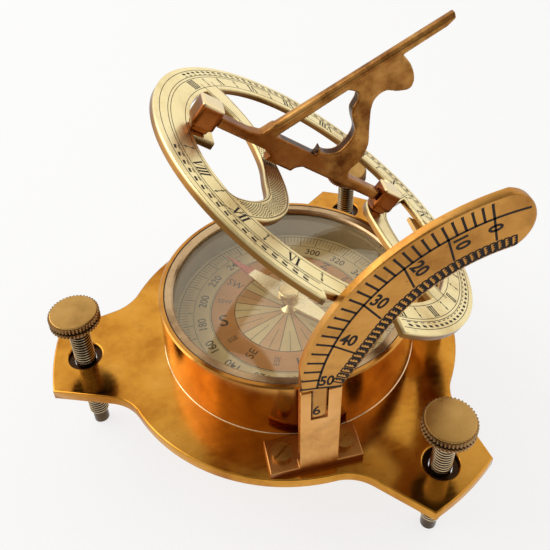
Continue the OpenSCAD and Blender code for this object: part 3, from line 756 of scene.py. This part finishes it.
def engrave_arc():
    lines = [bend(48.22, 48.78, 174 - 7.68 * k, 174 - 7.68 * (k + 1), 8) for k in range(10)]
    # The lines at the tens lean a little, each its own way
    lean = (0.2, 1.2, 2.2, 2.2, 2.2, 0.5)
    for k, e in enumerate(TENS):
        foot = max(42.4, inner_edge(e) + 3.0)
        lines.append(stroke(on_arc(48.6, e), on_arc(foot if k < 5 else inner_edge(e) + 0.4, e - lean[k]), 0.52))
    lines.append(stroke(on_arc(52.5, TENS[-1]), on_arc(48.5, TENS[-1]), 0.52))
    parts = [slabs("arc_lines", lines, ARC_LOW, ARC_HIGH, WAX)]
    tick = [(-2.0, -0.29), (1.6, -0.29), (2.1, -0.4), (2.1, 0.29), (-2.0, 0.29)]
    for k in range(5):
        step = (TENS[k + 1] - TENS[k]) / 5
        parts.append(marks_round(f"tick_row_{k}", tick, ARC_LOW, ARC_HIGH, 50.4, 180 - TENS[k], -step, 5, WAX))
    # Border: a row of black lobes, each with a bright bracket left standing in it
    lobe = [(-1.45, -0.5), (-1.2, -0.78), (1.2, -0.78), (1.45, -0.5), (1.45, 0.5), (1.2, 0.78), (-1.2, 0.78),
            (-1.45, 0.5)]
    bracket = [(-0.95, 0.36), (-0.95, 0.08), (-0.5, -0.02), (-0.5, -0.3), (-0.28, -0.3), (-0.2, -0.04), (0.1, -0.04),
               (0.18, -0.3), (0.4, -0.3), (0.46, 0.0), (0.8, 0.04), (0.95, -0.3), (1.1, -0.2), (1.1, 0.36)]
    pitch, last = 2.13, 78.5
    rounds = [k for k in range(60) if last - pitch * k >= SWING]
    for name, line, low, finish in (("border_lobes", lobe, ARC_LOW, WAX), ("border_brackets", bracket, 0.0, SCALE)):
        high = ARC_HIGH if finish is WAX else ARC_HIGH + 0.012
        parts.append(marks_round(name, line, low, high, 40.75, 180 - last, pitch, len(rounds), finish))
        straight = []
        for k in range(len(rounds), 60):
            e = last - pitch * k
            if e < 7.6:
                break
            x, y = on_arc(inner_edge(e) + 1.95 / math.cos(math.radians(SWING - e)), e)
            straight.append(moved([line], 180 - SWING, x, y)[0])
        parts.append(slabs(name + "_straight", straight, low, high, finish))
    for k, e in enumerate(TENS):
        r, shift = 45.9, (2.15 if k else 0.0)
        turn = e + math.degrees(shift / r)
        x, y = on_arc(r + (0.7 if k == 5 else 0.0), turn)
        parts.append(put(lettering(str(10 * k), 4.8, WAX, 0.15, 0.035), x, y, -turn, -0.015,
                         (0.8 if k < 5 else 0.7, 0.9)))
    parts.append(put(lettering("6", 4.4, WAX, 0.06, 0.035), -48.2, -3.0, 0, -0.015, (0.9, 1.0)))
    shown("latitude_arc_engraving", parts, "arc", ARC_PLANE)


# ---- compass card

def print_card():
    tint, ink = [], []
    point, rose_start, rose_end = 22.5, 2.6, 15.7
    for k in range(16):
        a = point * k
        if k % 2 == 0:
            tint.append(bend(rose_start, rose_end, a, a + point, 8))
        ink.append(stroke(polar(rose_start, a), polar(rose_end, a), 0.16))
        ink.append(stroke(polar(8.2, a + point / 2), polar(rose_end, a + point / 2), 0.12))
    parts = [slabs("letter_band", hoop(15.9, 22.5), -0.02, 0.015, OCHRE),
             slabs("rose_points", tint, -0.02, 0.02, ROSE)]
    for r, w in ((15.8, 0.2), (22.6, 0.2), (23.0, 0.1), (27.6, 0.12), (31.8, 0.16)):
        ink += hoop(r - w / 2, r + w / 2)
    parts.append(slabs("card_lines", ink, 0.0, 0.03, INK))
    fine, bold = stroke((-1.3, 0), (1.3, 0), 0.1), stroke((-1.9, 0), (1.9, 0), 0.18)
    parts.append(marks_round("fine_degrees", fine, 0.0, 0.03, 30.4, 0, 2, 180, INK))
    parts.append(marks_round("ten_degrees", bold, 0.0, 0.03, 29.8, 0, 10, 36, INK))
    winds = ("N", "NNE", "NE", "ENE", "E", "ESE", "SE", "SSE", "S", "SSW", "SW", "WSW", "W", "WNW", "NW", "NNW")
    for k, wind in enumerate(winds):
        a = -point * k
        size = {1: 6.0, 2: 3.6, 3: 2.2}[len(wind)]
        x, y = polar(19.2, a)
        parts.append(put(lettering(wind, size, INK, 0.03 if len(wind) == 1 else 0.0, 0.02), x, y, a - 180, 0.02))
    for d in range(0, 360, 20):
        x, y = polar(25.3, -d)
        parts.append(put(lettering(str(d), 3.3, INK, 0.02, 0.02), x, y, -d - 90, 0.02))
    shown("compass_card_print", parts, "body", CARD_PLANE)


# ---- levelling screws

def make_screw(k):
    """Levelling screw with a round point, a knurled, grooved head and a helix for its thread."""
    x, y = polar(SCREW_CIRCLE, SCREW_ANGLES[k])
    top, under, teeth, thread_start = 47.0, 43.2, 44, 5.2
    point = [(0, 0), (1.3, 0), (1.95, 0.25), (2.2, 0.4), (2.2, 4.5), (0, 4.7)]
    core = [(0, 4.4), (2.1, 4.4), (2.3, 4.9), (2.3, under), (5.6, under),
            (6.05, under + 0.35), (6.05, under + 1.55), (5.7, under + 1.75), (5.7, under + 2.05),
            (6.05, under + 2.25), (6.05, top - 0.4), (5.9, top - 0.16), (0, top - 0.3)]
    face = [(0, top - 0.5), (5.8, top - 0.5), (6.2, top - 0.3), (6.12, top - 0.06), (5.95, top), (0, top)]
    parts = [turned(f"screw_{name}_{k}", profile, finish, (x, y)) for name, profile, finish in
             (("core", core, SMOKE), ("face", face, FACED), ("point", point, POINT))]
    tooth = [(-0.45, -0.42), (0.1, -0.42), (0.5, -0.12), (0.5, 0.12), (0.1, 0.42), (-0.45, 0.42)]
    for low, high in ((under + 0.42, under + 1.53), (under + 2.27, top - 0.4)):
        ridge = marks_round(f"knurl_{k}", tooth, low, high, 6.22, 0, 360 / teeth, teeth, KNURL)
        ridge.transform(Matrix.Translation((x, y, 0)))
        parts.append(ridge)
    # The thread's roots carry painted shade
    helix = grown(f"thread_{k}", bpy.data.meshes.new("blank"), THREAD_TREE, turns=37.6, pitch=1.0, radius=2.5,
                  ridge=0.5, flatness=0.6, finish=bright_crest(THREAD, f"thread_brass_{k + 1}", x, y))
    helix.transform(Matrix.Translation((x, y, thread_start)))
    smooth(helix, 40)
    head = shown(f"knurled_screw_{k + 1}", parts, f"screw_{k + 1}")
    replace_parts(head, f"levelling_screw_{k + 1}")
    shown(f"screw_thread_{k + 1}", helix, f"screw_{k + 1}")


def make_cap():
    """Needle cap with two turned grooves, hollow above the pivot's point."""
    profile = [(0, 1.15), (0.8, 0.8), (0.8, -0.8), (1.5, -0.8), (1.5, 0.5), (3.0, 0.5), (3.0, 0.95), (2.7, 1.05),
               (2.7, 1.2), (3.0, 1.3), (3.0, 1.6), (2.7, 1.7), (2.7, 1.85), (2.95, 1.95), (2.95, 2.5),
               (2.7, 2.72), (2.1, 2.8), (0, 2.8)]
    cap = turned("grooved_cap", [(r, NEEDLE_LEVEL + h) for r, h in profile], BRIGHT)
    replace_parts(shown("grooved_cap", cap, "needle"), "needle_cap")


def bead(name, radius, z, thick, finish, body):
    """Thin round bead laid round the compass axis."""
    bm, n, m = bmesh.new(), 128, 8
    section = [polar(thick, 360 * j / m) for j in range(m)]
    grid = [[bm.verts.new((*polar(radius + out, 360 * i / n), z + up)) for out, up in section] for i in range(n)]
    for i in range(n):
        for j in range(m):
            bm.faces.new((grid[i][j], grid[(i + 1) % n][j], grid[(i + 1) % n][(j + 1) % m], grid[i][(j + 1) % m]))
    bmesh.ops.recalc_face_normals(bm, faces=bm.faces)
    mesh = mesh_of(name, bm)
    mesh.materials.append(finish)
    smooth(mesh, 60)
    shown(name, mesh, body)


# ---- pieces worked over

def welded(node):
    """A CAD piece's loose triangles, joined at their corners."""
    bm = bmesh.new()
    bm.from_mesh(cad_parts[node].data)
    bmesh.ops.remove_doubles(bm, verts=bm.verts, dist=0.02 * MM)
    return bm


def stand_in(node, mesh, finish, body, modifiers=()):
    """Copy of a CAD piece, worked over by modifiers, that stands in for it."""
    o = placed(mesh.name, mesh)
    for kind, values in modifiers:
        mod = o.modifiers.new(kind.lower(), kind)
        for key, value in values.items():
            setattr(mod, key, value)
    made = final_mesh(o)
    o.modifiers.clear()
    o.data = made
    coat(made, finish)
    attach(o, body)
    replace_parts(o, node)
    return made


def eased(node, width, finish, body):
    """Sheet piece with its sharp edges rounded over; faces of more than 6 square millimetres stay flat."""
    bm = welded(node)
    bmesh.ops.dissolve_limit(bm, angle_limit=math.radians(1.0), verts=bm.verts, edges=bm.edges)
    made = stand_in(node, mesh_of(node + "_eased", bm), finish, body, [
        ("BEVEL", dict(width=width * MM, segments=2, limit_method="ANGLE", angle_limit=math.radians(40),
                       use_clamp_overlap=False, miter_outer="MITER_SHARP"))])
    smooth(made, 32)
    for p in made.polygons:
        if p.area > 6 * MM * MM:
            p.use_smooth = False


def rimmed(node, plane, width, finish, body):
    """Sheet piece whose front face meets its sides in a rounded rim: the face is taken off, each loop of its outline
    is carried inwards in two steps, and a smaller face closes it."""
    bm = welded(node)
    to_world = TO_METRES @ plane
    bmesh.ops.transform(bm, matrix=to_world.inverted(), verts=bm.verts)
    bm.normal_update()
    level = max(f.calc_center_median().z for f in bm.faces if f.normal.z > 0.99)
    front = [f for f in bm.faces if f.normal.z > 0.99 and f.calc_center_median().z > level - 0.02]
    known, follow = set(front), {}
    for f in front:
        for corner in f.loops:
            if sum(g in known for g in corner.edge.link_faces) == 1:
                follow[corner.vert] = corner.link_loop_next.vert
    bmesh.ops.delete(bm, geom=front, context="FACES")
    inner_edges = []
    while follow:
        start = next(iter(follow))
        run, v = [], start
        while v in follow:
            run.append(v)
            v = follow.pop(v)
        spots = [v.co.copy() for v in run]
        mid, inner = [], []
        for i, v in enumerate(run):
            ahead = (spots[(i + 1) % len(run)] - spots[i]).normalized()
            back = (spots[i] - spots[i - 1]).normalized()
            n1, n2 = Vector((-back.y, back.x, 0)), Vector((-ahead.y, ahead.x, 0))
            inward = (n1 + n2) / max(0.6, 1 + n1.dot(n2))
            v.co.z = level - width
            mid.append(bm.verts.new(spots[i] + inward * width * 0.29 - Vector((0, 0, width * 0.29))))
            inner.append(bm.verts.new(spots[i] + inward * width))
        for low, high in ((run, mid), (mid, inner)):
            for i in range(len(run)):
                j = (i + 1) % len(run)
                bm.faces.new((low[i], low[j], high[j], high[i]))
        inner_edges += [bm.edges.get((inner[i], inner[(i + 1) % len(run)])) for i in range(len(run))]
    bmesh.ops.triangle_fill(bm, use_beauty=True, use_dissolve=False, edges=inner_edges, normal=(0, 0, 1))
    bmesh.ops.transform(bm, matrix=to_world, verts=bm.verts)
    made = stand_in(node, mesh_of(node + "_rimmed", bm), finish, body)
    smooth(made, 38)
    out = (plane.to_3x3() @ UP).normalized()
    for p in made.polygons:
        if abs(p.normal.dot(out)) > 0.995:
            p.use_smooth = False


def cast(node, grit, finish, body, rounds=6, cutter=None):
    """Cast piece with soft worn edges: filed by a cutter, remeshed at the size of its grit and rubbed smooth."""
    steps = [("REMESH", dict(mode="VOXEL", voxel_size=grit * MM)), ("SMOOTH", dict(factor=0.5, iterations=rounds))]
    if cutter:
        steps.insert(0, ("BOOLEAN", dict(operation="DIFFERENCE", object=cutter, solver="EXACT")))
    made = stand_in(node, mesh_of(node + "_cast", welded(node)), finish, body, steps)
    made.polygons.foreach_set("use_smooth", [True] * len(made.polygons))
    if cutter:
        bpy.data.objects.remove(cutter)


def style_file():
    """File that leaves the gnomon's style with one straight narrow top between two sloping flanks."""
    section = [(-5.0, -3.6), (-0.75, 0.0), (0.75, 0.0), (5.0, -3.6), (5.0, 6.0), (-5.0, 6.0)]
    verts = [STYLE_FOOT + STYLE_LENGTH * STYLE_AHEAD * k + STYLE_OUT * h + Vector((0, y, 0))
             for k in (0.09, 1.5) for y, h in section]
    n = len(section)
    faces = [list(range(n)), list(range(2 * n - 1, n - 1, -1))]
    faces += [(i, i + n, (i + 1) % n + n, (i + 1) % n) for i in range(n)]
    mesh = bpy.data.meshes.new("style_file")
    mesh.from_pydata([tuple(v) for v in verts], [], faces)
    bm = bmesh.new()
    bm.from_mesh(mesh)
    bmesh.ops.recalc_face_normals(bm, faces=bm.faces)
    bm.to_mesh(mesh)
    bm.free()
    mesh.transform(TO_METRES @ RING_PLANE)
    return placed("style_file", mesh)


# The gnomon keeps its red-brown patina and gets painted shade on its window's inner edges
old_patina(CASTING)
cast("gnomon", 0.24, CASTING, "gnomon", cutter=style_file())
# Each post gets a painted highlight on its top face
for side in ("south", "north"):
    post = "gnomon_post_" + side
    cast(post, 0.14, worn_top(post, POST, side + "_post"), "ring", 200)
rimmed("base_plate", UPRIGHT, 0.4, PLATE, "body")
rimmed("latitude_arc", ARC_PLANE, 0.45, SCALE, "arc")
rimmed("hour_ring", RING_PLANE, 0.2, DIAL, "ring")
eased("arc_bracket", 0.25, BRACKET, "body")
engrave_ring()
engrave_arc()
print_card()
make_cap()
for k in range(3):
    make_screw(k)
shown("bezel_groove", slabs("bezel_groove", hoop(34.72, 35.02), BASE_TOP + 18.1, BASE_TOP + 18.37, WORN_WAX),
      "body")
bead("box_seam", 36.45, BASE_TOP + 0.12, 0.22, SOLDER, "body")


# ---- floor, light and camera

def make_floor():
    mesh, far = bpy.data.meshes.new("floor"), 9
    mesh.from_pydata([(-far, -far, 0), (far, -far, 0), (far, far, 0), (-far, far, 0)], [], [(0, 1, 2, 3)])
    m, tree, shader = new_finish("pale_cloth")
    weave = grain(tree, 1400, 2)
    feed(tree, shader, {
        "Base Color": ramp(tree, weave, ((0.3, (0.86, 0.87, 0.88)), (0.7, (0.93, 0.93, 0.93)))),
        "Roughness": 0.9, "Normal": bumped(tree, weave, 0.2, 0.0003)})
    # The floor looks nearly white, but lights the brass from below as plain cloth does
    path = node_of(tree, "ShaderNodeLightPath").outputs
    seen = sums(tree, "MAXIMUM", path["Is Camera Ray"],
                sums(tree, "MAXIMUM", path["Is Glossy Ray"], path["Is Transmission Ray"]))
    white = node_of(tree, "ShaderNodeEmission", {"Strength": 1.0})
    blended(tree, shader, sums(tree, "MULTIPLY", seen, 0.76), white.outputs["Emission"])
    mesh.materials.append(m)
    placed("floor", mesh)


def make_sky():
    """Soft room: bright above and behind, darker on the side that the viewer stands on."""
    world = bpy.data.worlds.new("studio")
    bpy.context.scene.world = world
    world.use_nodes = True
    tree = world.node_tree
    behind = reach(tree, Vector((-0.15, -0.93, -0.1)).normalized(), "Generated")
    height = reach(tree, UP, "Generated")
    colour = mixed(tree, levels(tree, behind, 1.0, 0.0, 0.15, 0.8), (0.07, 0.05, 0.04), (1.15, 1.12, 1.06))
    colour = mixed(tree, levels(tree, height, 0.0, 0.78, 0.80, 0.87), colour, (0.1, 0.09, 0.08))
    colour = mixed(tree, levels(tree, height, 1.0, 0.0, 0.16, 0.3), colour, (1.0, 1.0, 1.0))
    feed(tree, tree.nodes["Background"], {"Color": colour, "Strength": 1.0})


def make_window_light():
    light = bpy.data.lights.new("window_light", "AREA")
    light.shape, light.size, light.energy = "SQUARE", 0.9, 4.5
    o = placed("window_light", light)
    place, aim = Vector((-0.75, 0.35, 0.55)), Vector((0, 0, 0.05))
    o.location = place
    o.rotation_euler = (aim - place).to_track_quat("-Z", "Y").to_euler()


def make_camera():
    """Camera that was fitted to the picture: its lens, its place in metres and the three ways it points."""
    data = bpy.data.cameras.new("camera")
    data.sensor_width, data.lens = 36.0, 45.46
    data.shift_x, data.shift_y = -0.0727, -0.1558
    data.clip_start, data.clip_end = 0.01, 20
    o = placed("camera", data)
    right, up, ahead = Vector((0.9655, -0.2605, 0)), Vector((0.1576, 0.5841, 0.7962)), Vector((0.2074, 0.7687, -0.6050))
    roll = math.radians(1.17)
    x = (math.cos(roll) * right + math.sin(roll) * up).normalized()
    z = -ahead.normalized()
    y = z.cross(x).normalized()
    o.matrix_world = Matrix.Translation((-0.02998, -0.13745, 0.18730)) @ Matrix((x, y, z)).transposed().to_4x4()
    bpy.context.scene.camera = o


make_floor()
make_sky()
make_window_light()
make_camera()
bpy.context.scene.view_settings.view_transform = "Standard"
